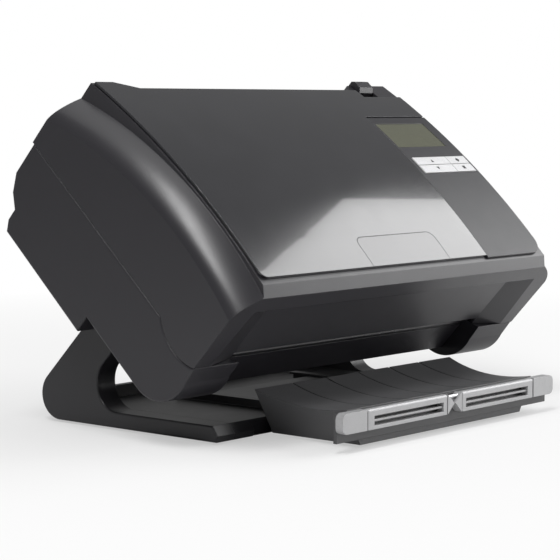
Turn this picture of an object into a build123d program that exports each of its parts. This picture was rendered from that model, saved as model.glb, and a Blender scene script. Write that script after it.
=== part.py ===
from build123d import *
import math
import os

# Sheet-fed document scanner, in millimetres. +Z is up and the front faces -Y.
# The base, the output tray and the end stops are drawn in (x, y, z).
# The body is drawn upright in (x, n, u): u runs up the body and n runs out of its front.
# body_place then leans it back on the base arms.

# Driving sizes of the whole
body_width = 330.0
recline = 42.8
notch_height = 50.5
casing_end = 187.0
casing_back = -43.5
seam = 3.4
part_gap = 0.3
slip = 0.05
fit = 0.02
wall = 2.5

# Base
body_overhang = 31.0
arm_thickness = 16.0
arm_half_depth = 14.0
arm_inner_radius = 17.5
base_front = 9.5
base_rear = 163.8
feet_height = 1.5
foot_height = 11.5
foot_bevel = 4.5
foot_nose_height = 5.5
feet_radius = 8.0
base_plate_rear = 146.0
upstand_height = 19.5
upstand_thickness = 5.0
pivot_u = 84.0
pivot_n = -17.3
pivot_radius = 5.0

# Output tray and its end stops
tray_top_width = 196.0
tray_bottom_width = 170.0
tray_front = -61.0
tray_back = 8.0
tray_back_height = 31.0
tray_low_height = 23.0
tray_low_y = -28.0
tray_front_height = 24.5
tray_bottom = 2.0
groove_count = 5
groove_pitch = 33.0
groove_width = 1.4
groove_depth = 0.8
tongue_half_width = 58.0
tongue_thickness = 3.0
tongue_rear = 95.0
rail_front = 16.0
rail_rear = 112.0
rail_wall = 3.0
rail_lip = 4.0
rail_lip_thickness = 1.4
extension_half_width = 72.0
extension_thickness = 2.4
extension_height = 6.2
extension_rear = 4.0
bar_thickness = 2.4
stop_half_depth = 2.5
stop_margin = 10.0
stop_inner_x = 8.0
stop_top = 24.5
stop_bottom = 12.0
stop_rod_radius = 1.2
stop_frame_bar = 3.0
stop_inner_bar = 1.3
cap_reach = 14.0
arrow_gap = 0.6

# Front cover
front_height = 68.0
panel_thickness = 1.7
front_radius = 600.0
shoulder_radius = 330.0
shoulder_low_n = 48.0
shoulder_high_n = 64.5
apex_u = 65.0
cover_end = 188.0
lip_end = 181.5
cover_hinge_u = 17.0
cover_hinge_n = 30.0
seat_radius = 34.6
bevel_start_n = 57.5
bevel_rise = 0.93
recess_depth = 6.0
recess_top = 46.0
recess_margin = 39.0
end_wall = 2.4
cover_lip_n = 2.0
panel_margin = 19.0
panel_low_u = 9.5
strip_width = 66.4
panel_corner = 5.0
strip_corner = 12.0
panel_step_u = 146.0
strip_low_u = 8.0
strip_gap = 0.8
pad_left_x = -42.0
pad_right_x = 38.0
pad_top_u = 32.5
pad_corner = 6.0
display_margin = 9.0
display_width = 55.0
display_low_u = 112.0
display_high_u = 138.0
button_margin = 2.0
button_row_width = 59.6
button_right_width = 22.0
button_low_u = 85.0
button_high_u = 100.4
button_travel = 0.8
switch_height = 2.0
board_mid_u = 112.0
board_top_n = 57.0
display_height = 6.4
ear_width = 32.0
ear_slope = 18.0
ear_right_width = 65.0
ear_right_slope = 7.0
cover_pin_radius = 3.0
ear_plate_inset = 10.0
ear_plate_thickness = 6.0
ear_disc_radius = 6.5

# Release lever and latch
latch_u = 172.0
latch_n = 30.0
latch_radius = 2.5
hook_inset = 12.0
hook_thickness = 5.0
lever_margin = 40.5
lever_width = 15.0

# Rear housing
casing_width = 27.0
lobe_reach = 13.0
lobe_u = 24.0
lobe_n = -18.0
lobe_radius = 25.5
slot_low_u = 48.0
slot_high_u = 101.5
rear_back = -42.8
rear_wall = 2.4
rear_bottom_u = 12.0
wing_low_u = 82.0
plate_gap = 3.0
plate_thickness = 3.0
path_low_n = -1.0
path_high_n = 1.5
exit_low_n = -10.0
guide_thickness = 1.6
throat_u = 174.0
throat_flare = 12.0
exit_u = 20.0

# Rollers
roller_radius = 8.0
roller_proud = 0.4
idler_radius = 6.0
nip_gap = 0.3
shaft_radius = 3.0
axle_radius = 2.0
bush_radius = 5.0
feed_u = 158.0
drive_u = 112.0
exit_roller_u = 37.5
roller_slot_play = 1.2
roller_half = 6.0
feed_roller_half = 9.0
pulley_radius = 4.3
motor_pulley_radius = 3.5
pulley_inset = 12.0
pulley_width = 6.0
belt_thickness = 1.2
motor_radius = 12.5
motor_length = 38.0
motor_u = 64.0
motor_n = -24.0
motor_shaft_radius = 1.5

# Sensors
sensor_inset = 14.0
sensor_length = 18.0
sensor_height = 13.0
lower_sensor_u = 89.0
upper_sensor_u = 132.0
glass_thickness = 1.8

# Electrics
board_thickness = 1.6
main_board_n = -37.4
socket_depth = 15.0
socket_u = 40.0
socket_size = 12.0
inlet_spacing = 24.0
usb_inset = 28.0
power_button_x = 60.0
power_button_radius = 5.0
power_travel = 1.2

# Input tray, folded down behind the body
slab_gap = 4.3
slab_half_thickness = 6.0
slab_n = -49.8
slab_hinge_u = 166.2
slab_end_u = 62.0
slab_pin_radius = 2.5
bed_margin = 1.7
bed_low_n = -51.8
bed_high_n = -49.3
guide_margin = 3.7
guide_blade = 2.5
guide_low_u = 98.0
guide_high_u = 157.5
guide_top_n = -61.0
guide_travel = 55.0
pinion_u = 145.0
gear_module = 1.25
pinion_teeth = 12
rack_teeth = 18
backlash = 0.25
rack_bar = 2.2
input_extension_half_width = 54.0
input_extension_high_u = 133.5

# Values worked out from the driving sizes
up_angle = math.radians(recline)
pivot_y = pivot_u * math.cos(up_angle) - pivot_n * math.sin(up_angle)
pivot_z = notch_height + pivot_u * math.sin(up_angle) + pivot_n * math.cos(up_angle)
stop_axis_y = tray_front - part_gap - bar_thickness - part_gap - stop_half_depth - part_gap
stop_axis_z = stop_top - 2.0
stop_front = stop_axis_y - stop_half_depth
centre_shift = -(stop_front + base_rear) / 2
half_width = body_width / 2
half_base = half_width - body_overhang
stop_outer_x = tray_top_width / 2 - stop_margin
cap_outer_x = tray_top_width / 2 + cap_reach
recess_half_width = half_width - recess_margin
panel_side_x = half_width - panel_margin
raised_half = panel_side_x + 1.3
panel_split_x = panel_side_x - strip_width
display_right_x = panel_side_x - display_margin
display_left_x = display_right_x - display_width
button_right_x = panel_side_x - button_margin
button_left_x = button_right_x - button_row_width
button_split_x = button_right_x - button_right_width
ear_inner_x = half_width - ear_width
ear_right_x = half_width - ear_right_width
casing_inner_x = half_width - casing_width
lobe_inner_x = casing_inner_x - lobe_reach
ear_plate_x = casing_inner_x - ear_plate_inset
hook_x = casing_inner_x - hook_inset
lever_right_x = half_width - lever_margin
lever_left_x = lever_right_x - lever_width
arm_inner_x = half_base - arm_thickness
plate_inner_x = arm_inner_x - plate_gap - plate_thickness
pulley_x = plate_inner_x - pulley_inset
sensor_half_width = plate_inner_x - sensor_inset
usb_x = usb_inset - plate_inner_x
power_inlet_x = usb_x + inlet_spacing
slab_half = arm_inner_x - slab_gap
wing_inner_x = slab_half + part_gap
paper_bed_half_width = slab_half - bed_margin
guide_face_x = paper_bed_half_width - guide_margin
shell_front = front_height - panel_thickness - part_gap
arc_centre_n = front_height - front_radius
roller_n = path_low_n + roller_proud - roller_radius
roller_top = roller_n + roller_radius
idler_n = roller_top + nip_gap + idler_radius
separator_n = roller_top + nip_gap + roller_radius
pinion_radius = gear_module * pinion_teeth / 2
tooth_pitch = math.pi * gear_module
slab_high_n = slab_n + slab_half_thickness
slab_low_n = slab_n - slab_half_thickness
io_board_n = rear_back + socket_depth + board_thickness / 2 + fit
casing_seam = seam - part_gap
cover_seat_radius = seat_radius - part_gap
base_plate_half = arm_inner_x - 0.2
extension_top = extension_height + extension_thickness
tongue_low = foot_height + part_gap
tongue_high = tongue_low + tongue_thickness
button_mid_u = (button_low_u + button_high_u) / 2
button_mid_gap = 0.35
board_tilt = math.asin((board_mid_u - apex_u) / front_radius)
board_turn = -math.degrees(board_tilt)


def block(x_low, x_high, y_low, y_high, z_low, z_high):
    """Make a box from its limits."""
    box = Box(x_high - x_low, y_high - y_low, z_high - z_low)
    return Pos((x_low + x_high) / 2, (y_low + y_high) / 2, (z_low + z_high) / 2) * box


def rod(y, z, radius, x_low, x_high):
    """Make a cylinder along x."""
    bar = Rot(0, 90, 0) * Cylinder(radius, x_high - x_low)
    return Pos((x_low + x_high) / 2, y, z) * bar


def prism(outline, x_low, x_high):
    """Extrude (y, z) points or edges along x."""
    if isinstance(outline[0], tuple):
        face = make_face(Polyline(*outline, close=True))
    else:
        face = make_face(outline)
    return extrude(Plane.YZ.offset(x_low) * face, x_high - x_low)


def body_point(u, n):
    """Give the (y, z) place of a body point before the body leans back."""
    return (-n, u)


def body_block(x_low, x_high, u_low, u_high, n_low, n_high):
    """Make a box in the body's own directions."""
    return block(x_low, x_high, -n_high, -n_low, u_low, u_high)


def body_rod(u, n, radius, x_low, x_high):
    """Make a cylinder across the body."""
    return rod(-n, u, radius, x_low, x_high)


def body_prism(points, x_low, x_high):
    """Extrude (u, n) points across the body."""
    return prism([body_point(u, n) for u, n in points], x_low, x_high)


def normal_rod(x, u, radius, n_low, n_high):
    """Make a cylinder that runs along n."""
    bar = Rot(90, 0, 0) * Cylinder(radius, n_high - n_low)
    return Pos(x, -(n_low + n_high) / 2, u) * bar


def normal_prism(points, n_low, n_high):
    """Extrude (x, u) points along n."""
    face = make_face(Polyline(*points, close=True))
    return extrude(Plane.XZ.offset(n_low) * face, n_high - n_low)


def both(shape):
    """Add the mirror image on the other side."""
    return shape + mirror(shape, about=Plane.YZ)


def pair(shape):
    """Give a piece and its mirror image as two solids."""
    return [shape, mirror(shape, about=Plane.YZ)]


def body_place(shape):
    """Lean the body back on the base and centre the whole."""
    return Pos(0, centre_shift, notch_height) * Rot(recline - 90, 0, 0) * shape


def base_place(shape):
    """Centre the whole over the origin."""
    return Pos(0, centre_shift, 0) * shape


def save(name, shapes, place):
    """Write one node, as one solid or as a group of like solids."""
    if not isinstance(shapes, list):
        shapes = [shapes]
    solids = [solid for shape in shapes for solid in place(shape).solids()]
    export_step(solids[0] if len(solids) == 1 else Compound(solids), f"parts/{name}.step")


# Base

def foot_outline_start():
    """Give the front nose of the foot, bottom first."""
    return [
        (base_front + 1.5, feet_height),
        (base_front, foot_nose_height),
        (base_front + foot_bevel, foot_height),
    ]


def base_arm():
    """Make the right arm: foot, rear bend, leaning arm and the pin that the body tilts on."""
    diagonal = math.sqrt(0.5)
    outer_sum = pivot_y + pivot_z + arm_half_depth / diagonal
    inner_sum = pivot_y + pivot_z - arm_half_depth / diagonal
    rear_radius = (outer_sum - base_rear - feet_height) * diagonal
    rear_y = base_rear - rear_radius
    rear_z = feet_height + rear_radius
    inner_z = foot_height + arm_inner_radius
    inner_y = inner_sum - arm_inner_radius / diagonal - inner_z
    bend = rear_radius * diagonal
    inner_bend = arm_inner_radius * diagonal
    tip = arm_half_depth * diagonal
    nose = foot_outline_start()
    edges = [
        Polyline(*nose, (inner_y, foot_height)),
        ThreePointArc(
            (inner_y, foot_height),
            (inner_y + arm_inner_radius, inner_z),
            (inner_y + inner_bend, inner_z + inner_bend),
        ),
        Line((inner_y + inner_bend, inner_z + inner_bend), (pivot_y - tip, pivot_z - tip)),
        ThreePointArc(
            (pivot_y - tip, pivot_z - tip),
            (pivot_y - tip, pivot_z + tip),
            (pivot_y + tip, pivot_z + tip),
        ),
        Line((pivot_y + tip, pivot_z + tip), (rear_y + bend, rear_z + bend)),
        ThreePointArc(
            (rear_y + bend, rear_z + bend),
            (base_rear, rear_z),
            (rear_y, feet_height),
        ),
        Line((rear_y, feet_height), nose[0]),
    ]
    arm = prism(edges, half_base - arm_thickness, half_base)
    arm = fillet(arm.faces().sort_by(Axis.X)[-1].edges(), 1.2)
    return arm + rod(pivot_y, pivot_z, pivot_radius, plate_inner_x - 1, casing_inner_x + 5)


def base_plate():
    """Make the plate between the arms, open below, with a bay for the output tray."""
    nose = foot_outline_start()
    outline = [*nose, (base_plate_rear - 3, foot_height), (base_plate_rear, foot_height - 3),
               (base_plate_rear, feet_height)]
    plate = prism(outline, -base_plate_half, base_plate_half)
    plate += block(-base_plate_half, base_plate_half, base_plate_rear - upstand_thickness,
                   base_plate_rear, foot_height - 4, upstand_height)
    bay = tray_top_width / 2 + 2
    plate -= block(-bay, bay, base_front - 1, tray_back + 4, 0, foot_height + 1)
    pocket_front = tray_back + 4 + wall
    plate -= block(-base_plate_half + wall, base_plate_half - wall, pocket_front,
                   base_plate_rear - wall, 0, foot_height - wall)
    for x in (-60, 0, 60):
        plate += block(x - 1, x + 1, pocket_front - 1, base_plate_rear - 1, feet_height + 1,
                       foot_height - 1)
    for x, y in foot_places():
        plate += Pos(x, y, (feet_height + foot_height) / 2) * Cylinder(
            feet_radius + 1, foot_height - feet_height)
    return plate + tray_rails()


def foot_places():
    """Give the centres of the four rubber feet."""
    x = base_plate_half - feet_radius - 3
    return [(sx * x, y) for sx in (-1, 1) for y in (base_front + 16, base_plate_rear - 14)]


def rubber_feet():
    """Make the four feet that the scanner stands on."""
    return [Pos(x, y, feet_height / 2) * Cylinder(feet_radius, feet_height) for x, y in foot_places()]


def base_screws():
    """Make the screws that hold the arms to the plate, driven from inside the plate."""
    screws = []
    for y in (40, 120):
        head = rod(y, 6, 2.4, base_plate_half - wall - 2, base_plate_half - wall)
        screws += pair(head)
    return screws


def tray_rails():
    """Make the rails that hold the output tray's tongue on the base plate."""
    inner = tongue_half_width + part_gap
    section = [
        (inner, foot_height - 1),
        (inner + rail_wall, foot_height - 1),
        (inner + rail_wall, tongue_high + part_gap + rail_lip_thickness),
        (inner - rail_lip, tongue_high + part_gap + rail_lip_thickness),
        (inner - rail_lip, tongue_high + part_gap),
        (inner, tongue_high + part_gap),
    ]
    face = make_face(Polyline(*section, close=True))
    rail = extrude(Plane.XZ.offset(-rail_rear) * face, rail_rear - rail_front)
    return both(rail)


# Output tray

def tray_curve(drop):
    """Give the tray's side outline, lowered by drop and open to the ground below."""
    bottom = tray_bottom if drop == 0 else tray_bottom - 5
    back = tray_back - drop
    front = tray_front + drop
    top_back = (back, tray_back_height - drop)
    top_front = (front, tray_front_height - drop)
    return [
        ThreePointArc(top_back, (tray_low_y, tray_low_height - drop), top_front),
        Polyline(top_front, (front, bottom), (back, bottom), top_back),
    ]


def tray_section(inset):
    """Give the tray's cross-section as a tall wedge, narrower at the bottom."""
    slope = (tray_top_width - tray_bottom_width) / 2 / (tray_front_height - tray_bottom)
    low, high = -6.0, 40.0
    mid = tray_bottom_width / 2 - inset
    points = [
        (-mid - slope * (high - tray_bottom), high),
        (mid + slope * (high - tray_bottom), high),
        (mid + slope * (low - tray_bottom), low),
        (-mid - slope * (low - tray_bottom), low),
    ]
    face = make_face(Polyline(*points, close=True))
    return extrude(Plane.XZ.offset(-tray_back - 5) * face, tray_back - tray_front + 10)


def extension_rib():
    """Make one of the two ribs under the tray that carry the extension."""
    inner = extension_half_width + part_gap
    low = extension_height - part_gap
    high = extension_top + part_gap
    section = [
        (inner - 4, low - 1.4),
        (inner + 2, low - 1.4),
        (inner + 2, tray_back_height),
        (inner, tray_back_height),
        (inner, high + 1.4),
        (inner - 4, high + 1.4),
        (inner - 4, high),
        (inner, high),
        (inner, low),
        (inner - 4, low),
    ]
    face = make_face(Polyline(*section, close=True))
    return extrude(Plane.XZ.offset(-tray_back + 1) * face, tray_back - tray_front - 2)


def output_tray():
    """Make the scoop-shaped tray, its grooves and the tongue that slides on the base."""
    span = tray_top_width / 2 + 20
    outer = prism(tray_curve(0), -span, span) & tray_section(0)
    inner = prism(tray_curve(wall), -span, span) & tray_section(wall)
    tray = outer - inner
    tray += both(extension_rib()) & outer
    groove_band = prism(tray_curve(0), -span, span) - prism(tray_curve(groove_depth), -span, span)
    for index in range(groove_count):
        x = (index - (groove_count - 1) / 2) * groove_pitch
        tray -= groove_band & block(x - groove_width / 2, x + groove_width / 2, tray_front + 4,
                                    tray_back + 1, 10, 40)
    slot = extension_half_width + 2 * part_gap
    tray -= block(-slot, slot, tray_front - 1, tray_front + wall + 1, extension_height - part_gap,
                  extension_top + part_gap)
    tongue = block(-tongue_half_width, tongue_half_width, tray_back - 1, tongue_rear, tongue_low,
                   tongue_high)
    return tray + tongue


def tray_extension():
    """Make the plate that slides out of the tray, and the bar across its front."""
    bar_rear = tray_front - part_gap
    plate = block(-extension_half_width, extension_half_width, bar_rear - 1, extension_rear,
                  extension_height, extension_top)
    bar = block(-cap_outer_x + 1, cap_outer_x - 1, bar_rear - bar_thickness, bar_rear,
                extension_height, stop_top - 0.5)
    return plate + bar


def bar_front():
    """Give the y of the extension bar's front face."""
    return tray_front - part_gap - bar_thickness


def stop_end_caps():
    """Make the rounded caps that hold the ends of the hinge rod."""
    low = stop_axis_y - stop_half_depth
    cap = block(stop_outer_x + 1, cap_outer_x, low, bar_front(), stop_bottom, stop_top)
    outer_edges = cap.edges().filter_by(Axis.Y).sort_by(Axis.X)[-2:]
    cap = fillet(outer_edges, 4.0)
    cap -= rod(stop_axis_y, stop_axis_z, stop_rod_radius + fit, stop_outer_x, cap_outer_x - 5)
    return pair(cap)


def stop_centre_joint():
    """Make the centre holder with its two arrow-shaped ends."""
    low = stop_axis_y - stop_half_depth
    middle = (stop_bottom + stop_top) / 2
    tall = (stop_top - stop_bottom) / 2
    outer = stop_inner_x - 0.6
    arrow = make_face(Polyline((outer, middle - tall), (outer, middle + tall),
                               (arrow_gap, middle), close=True))
    arrow = extrude(Plane.XZ.offset(-bar_front()) * arrow, bar_front() - low)
    bridge = block(-outer, outer, stop_axis_y, bar_front(), middle - 2, middle + 2)
    joint = both(arrow) + bridge
    return joint - rod(stop_axis_y, stop_axis_z, stop_rod_radius + fit, -outer - 1, outer + 1)


def stop_hinge_rod():
    """Make the rod that both end stops turn on."""
    return rod(stop_axis_y, stop_axis_z, stop_rod_radius, -cap_outer_x + 6, cap_outer_x - 6)


def end_stop():
    """Make the right end stop: a slotted frame with one bar inside."""
    low = stop_axis_y - stop_half_depth
    high = stop_axis_y + stop_half_depth
    frame = block(stop_inner_x, stop_outer_x, low, high, stop_bottom, stop_top)
    frame = fillet(frame.edges().filter_by(Axis.X).group_by(Axis.Z)[-1], 1.5)
    frame = fillet(frame.edges().filter_by(Axis.Y), 0.8)
    window_low = stop_bottom + stop_frame_bar - 0.8
    window_high = stop_axis_z - 2.4
    frame -= block(stop_inner_x + 4, stop_outer_x - 6, low - 1, high + 1, window_low, window_high)
    middle = (window_low + window_high) / 2
    frame += block(stop_inner_x + 3, stop_outer_x - 5, low + 1, high - 1,
                   middle - stop_inner_bar / 2, middle + stop_inner_bar / 2)
    return frame - rod(stop_axis_y, stop_axis_z, stop_rod_radius + slip, 0, cap_outer_x)


# Front cover

def front_n(u):
    """Give the height of the shell's front at u."""
    radius = shell_front - arc_centre_n
    return arc_centre_n + math.sqrt(radius ** 2 - (u - apex_u) ** 2)


def sweep_front(face, radius=front_radius):
    """Turn a cross-section at the apex through a whole front arc."""
    centre_n = front_height - radius
    shortest = radius - front_height - 12
    axis = Axis((0, -centre_n, apex_u), (1, 0, 0))
    start = math.degrees(math.asin((cover_end + 6 - apex_u) / shortest))
    end = math.degrees(math.asin((apex_u + 6) / shortest))
    return revolve(face.rotate(axis, -start), axis, start + end)


def raised_section(inset):
    """Give the cross-section of the part that carries the front panel."""
    top = shell_front - inset
    half = raised_half - inset
    face = make_face(Polyline((-half, 12), (half, 12), (half, -top), (-half, -top), close=True))
    return Pos(0, 0, apex_u) * face


def shoulder_section(inset):
    """Give the cross-section with upright sides and rounded shoulders."""
    side = half_width - inset
    low = shoulder_low_n - inset / 4
    high = shoulder_high_n - inset
    right = [
        Polyline((0, 12), (side, 12), (side, -low)),
        Bezier((side, -low), (side - 1.5, -low - 6), (side - 9, -high + 4.5), (raised_half, -high)),
        Line((raised_half, -high), (0, -high)),
    ]
    half = make_face([*right, Line((0, -high), (0, 12))])
    face = half + mirror(half, about=Plane.YZ)
    return Pos(0, 0, apex_u) * face


def cover_form(inset):
    """Make the cover's whole form: shoulders, and the raised part between them."""
    return sweep_front(shoulder_section(inset), shoulder_radius) + sweep_front(raised_section(inset))


def hinge_arc(radius, n_line, steps_up):
    """Give the seat arc about the cover hinge, from its seam end down to the end face."""
    seam_u = cover_hinge_u + math.sqrt(radius ** 2 - (cover_hinge_n - n_line) ** 2)
    end_n = cover_hinge_n - math.sqrt(radius ** 2 - cover_hinge_u ** 2)
    low = (cover_hinge_u, cover_hinge_n - radius)
    start = body_point(seam_u, n_line)
    end = body_point(0, end_n)
    arc = ThreePointArc(start, body_point(*low), end)
    return (arc, start, end) if steps_up else (arc, end, start)


def cover_side_outline():
    """Give the cover's side outline: end face, bevel, top and hinged lower edge."""
    arc, seam_point, end_point = hinge_arc(cover_seat_radius, seam, True)
    over = front_height + 12
    bevel_u = (over - bevel_start_n) / bevel_rise
    return [
        arc,
        Polyline(end_point, body_point(0, bevel_start_n), body_point(bevel_u, over),
                 body_point(cover_end, over), body_point(cover_end, seam), seam_point),
    ]


def top_scoop(margin):
    """Make the cut that lowers the cover's top edge between the ears."""
    left = -ear_inner_x - margin
    right = ear_right_x + margin
    low = lip_end - margin
    high = cover_end + 2
    points = [
        (left, high),
        (left + ear_slope, low),
        (right, low),
        (right + ear_right_slope, high),
    ]
    return normal_prism(points, -20, front_height + 15)


def end_recess():
    """Make the shallow sunk field in the cover's lower end, with slanted sides."""
    deep = recess_half_width
    wide = half_width - 11
    low = -12.0
    mouth = Polyline((-wide + 4, -recess_top), (wide - 4, -recess_top), (wide + 3, -low),
                     (-wide - 3, -low), close=True)
    floor = Polyline((-deep, -recess_top), (deep, -recess_top), (deep, -low), (-deep, -low),
                     close=True)
    return loft([Pos(0, 0, -1.0) * make_face(mouth), Pos(0, 0, recess_depth) * make_face(floor)])


def cover_shell():
    """Make the cover's outer shell with its end wall, hinge ribs and latch ribs."""
    span = half_width + 20
    outer = cover_form(0) & prism(cover_side_outline(), -span, span)
    outer -= top_scoop(0)
    outer -= end_recess()
    inner_end = recess_depth + end_wall
    void = body_prism([(inner_end, -12), (inner_end, bevel_start_n - 4),
                       (inner_end + 16, front_height + 8), (cover_end - wall, front_height + 12),
                       (cover_end - wall, -12)], -span, span)
    inner = cover_form(wall) & void
    inner -= top_scoop(wall)
    shell = outer - inner
    shell -= body_block(-recess_half_width, recess_half_width, -1, inner_end + 1, -12, cover_lip_n)
    shell -= body_block(-lobe_inner_x, lobe_inner_x, throat_u - 2, cover_end + 2, -12,
                        path_high_n + throat_flare + part_gap)
    shell = shell + cover_ribs()
    shell -= control_window()
    shell -= body_block(lever_left_x - 1, lever_right_x + 1, latch_u + 0.5, cover_end + 2, 28, 80)
    corners = shell & both(corner_space())
    return shell - both(corner_space()), corners.solids()


def corner_space():
    """Give the space of the right top corner, beside the paper's way in."""
    return body_block(lobe_inner_x, half_width - wall, throat_u + 4, cover_end + 2, -12,
                      path_high_n + throat_flare + part_gap)


def cover_ribs():
    """Make the ribs inside the shell that hold the hinge pins, the latch bar and the board."""
    ribs = None
    top = shell_front - wall - 1
    rib_gap = 0.4
    for x_low, x_high in (
        (ear_plate_x - 5 - rib_gap, ear_plate_x - rib_gap),
        (ear_plate_x + ear_plate_thickness + rib_gap, ear_plate_x + ear_plate_thickness + 5 + rib_gap),
    ):
        rib = body_block(x_low, x_high, cover_hinge_u - 5, cover_hinge_u + 5, cover_hinge_n, top)
        rib += body_rod(cover_hinge_u, cover_hinge_n, 5.0, x_low, x_high)
        rib -= body_rod(cover_hinge_u, cover_hinge_n, cover_pin_radius + fit, x_low - 1, x_high + 1)
        ribs = rib if ribs is None else ribs + rib
    latch_x = hook_x + hook_thickness + 2
    latch_top = front_n(latch_u) - 1
    rib = body_block(latch_x, latch_x + 3, latch_u - 5, latch_u + 5, latch_n - 5, latch_top)
    rib -= body_rod(latch_u, latch_n, latch_radius + slip, latch_x - 1, latch_x + 4)
    ribs = both(ribs + rib)
    for x in (panel_side_x - 59, panel_side_x - 5):
        for u in (82.0, 142.0):
            ribs += normal_rod(x, u, 2.0, board_high(u) + part_gap, front_n(u) - 1)
    return ribs


def board_high(u):
    """Give the height of the button board's top face at u."""
    return board_top_n - (u - board_mid_u) * math.tan(board_tilt)


def control_window():
    """Make the cuts through the shell for the display and the buttons."""
    display = normal_prism(rectangle(display_left_x + 1.5, display_right_x - 1.5,
                                     display_low_u + 1.5, display_high_u - 1.5), 52, 80)
    buttons = normal_prism(rectangle(button_left_x - part_gap, button_right_x + part_gap,
                                     button_low_u - part_gap, button_high_u + part_gap), 54, 80)
    return display + buttons


def rectangle(x_low, x_high, u_low, u_high):
    """Give the corners of a rectangle in (x, u)."""
    return [(x_low, u_low), (x_high, u_low), (x_high, u_high), (x_low, u_high)]


def front_slab(points, n_low, n_high):
    """Make a slab that follows the front arc, between two heights at the apex."""
    span = half_width
    face = make_face(Polyline((-span, -n_low), (span, -n_low), (span, -n_high), (-span, -n_high),
                              close=True))
    return sweep_front(Pos(0, 0, apex_u) * face) & normal_prism(points, 30, front_height + 15)


def rounding(x, u, radius, side):
    """Make the cut that rounds a lower corner; side is -1 at the left and 1 at the right."""
    centre_x = x - side * radius
    corner = body_block(min(x, centre_x) - 1 + (side > 0), max(x, centre_x) + 1 - (side < 0), u - 1,
                        u + radius, 30, front_height + 15)
    return corner - normal_rod(centre_x, u + radius, radius, 20, front_height + 25)


def on_front(u, shape):
    """Move a piece drawn at the apex along the front arc to u."""
    angle = math.degrees(math.asin((u - apex_u) / front_radius))
    there = Pos(0, -arc_centre_n, apex_u)
    back = Pos(0, arc_centre_n, -apex_u)
    return there * Rot(-angle, 0, 0) * back * shape


def pad_cut(grow, n_low, n_high):
    """Make a block with the finger pad's outline and round top corners."""
    low = panel_low_u - 5 if grow else panel_low_u
    block_face = make_face(Polyline((pad_left_x - grow, low), (pad_right_x + grow, low),
                                    (pad_right_x + grow, pad_top_u + grow),
                                    (pad_left_x - grow, pad_top_u + grow), close=True))
    top_corners = block_face.vertices().sort_by(Axis.Y)[-2:]
    block_face = fillet(top_corners, pad_corner + grow)
    return extrude(Plane.XZ.offset(n_low) * block_face, n_high - n_low)


def glossy_panel():
    """Make the raised front panel: L shaped, with an opening for the finger pad."""
    ear_u = cover_end - 1.5
    top = lip_end - 2
    right_top = latch_u - 1.5
    points = [
        (-panel_side_x, panel_low_u),
        (panel_split_x, panel_low_u),
        (panel_split_x, panel_step_u),
        (panel_side_x, panel_step_u),
        (panel_side_x, right_top),
        (ear_right_x + 4, right_top),
        (ear_right_x + 4, top),
        (-ear_inner_x + ear_slope + 2, top),
        (-ear_inner_x + 2, ear_u),
        (-panel_side_x, ear_u),
    ]
    panel = front_slab(points, front_height - panel_thickness, front_height)
    panel -= rounding(-panel_side_x, panel_low_u, panel_corner, -1)
    return panel - pad_cut(part_gap, 40, front_height + 15)


def finger_pad():
    """Make the flush pad at the foot of the front panel."""
    slab = front_slab(rectangle(pad_left_x - 5, pad_right_x + 5, panel_low_u, pad_top_u + 5),
                      front_height - panel_thickness, front_height)
    return slab & pad_cut(0, 40, front_height + 15)


def control_strip():
    """Make the dull strip beside the panel, with openings for display and buttons."""
    left = panel_split_x + strip_gap
    right = panel_side_x + 1
    high = panel_step_u - strip_gap
    points = [
        (left, strip_low_u),
        (right, strip_low_u),
        (right, high),
        (left, high),
    ]
    strip = front_slab(points, front_height - panel_thickness, front_height - 0.4)
    strip -= rounding(right, strip_low_u, strip_corner, 1)
    strip -= normal_prism(rectangle(display_left_x - fit, display_right_x + fit,
                                    display_low_u - fit, display_high_u + fit), 40, 90)
    strip -= normal_prism(rectangle(button_left_x - part_gap, button_right_x + part_gap,
                                    button_low_u - part_gap, button_high_u + part_gap), 40, 90)
    return strip


def display_window():
    """Make the clear window over the display."""
    points = rectangle(display_left_x, display_right_x, display_low_u, display_high_u)
    return front_slab(points, front_height - panel_thickness, front_height - 0.7)


def board_axis():
    """Give the line that the button board is turned about."""
    return Axis((0, -board_top_n, board_mid_u), (1, 0, 0))


def button_board():
    """Make the flat board behind the buttons, with the display and a switch under each button."""
    board = block(panel_side_x - 63, panel_side_x - 1, -board_top_n, -board_top_n + board_thickness,
                  board_mid_u - 33, board_mid_u + 33)
    for x, u in button_centres():
        board += block(x - 3, x + 3, -board_top_n - switch_height, -board_top_n, u - 2.5, u + 2.5)
    board += block(display_left_x + 2, display_right_x - 2, -board_top_n - display_height,
                   -board_top_n, display_low_u + 1.8, display_high_u - 2.8)
    return board.rotate(board_axis(), board_turn)


def button_centres():
    """Give the centres of the four buttons in (x, u)."""
    left = (button_left_x + button_split_x) / 2
    right = (button_right_x + button_split_x) / 2
    low = (button_low_u + button_mid_u) / 2
    high = (button_high_u + button_mid_u) / 2
    return [(left, high), (left, low), (right, high), (right, low)]


def button(column, row):
    """Make one button: its cap follows the front and a stem reaches its switch."""
    x_low = button_left_x if column == 0 else button_split_x + button_mid_gap
    x_high = button_split_x - button_mid_gap if column == 0 else button_right_x
    u_low = button_low_u if row == 0 else button_mid_u + button_mid_gap
    u_high = button_mid_u - button_mid_gap if row == 0 else button_high_u
    cap = front_slab(rectangle(x_low, x_high, u_low, u_high), shell_front - 3.5, front_height + 0.2)
    x = (x_low + x_high) / 2
    u = (u_low + u_high) / 2
    stem_low = board_high(u) + switch_height + 2 * part_gap + button_travel
    return cap + normal_rod(x, u, 1.5, stem_low, shell_front - 3.0)


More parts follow.
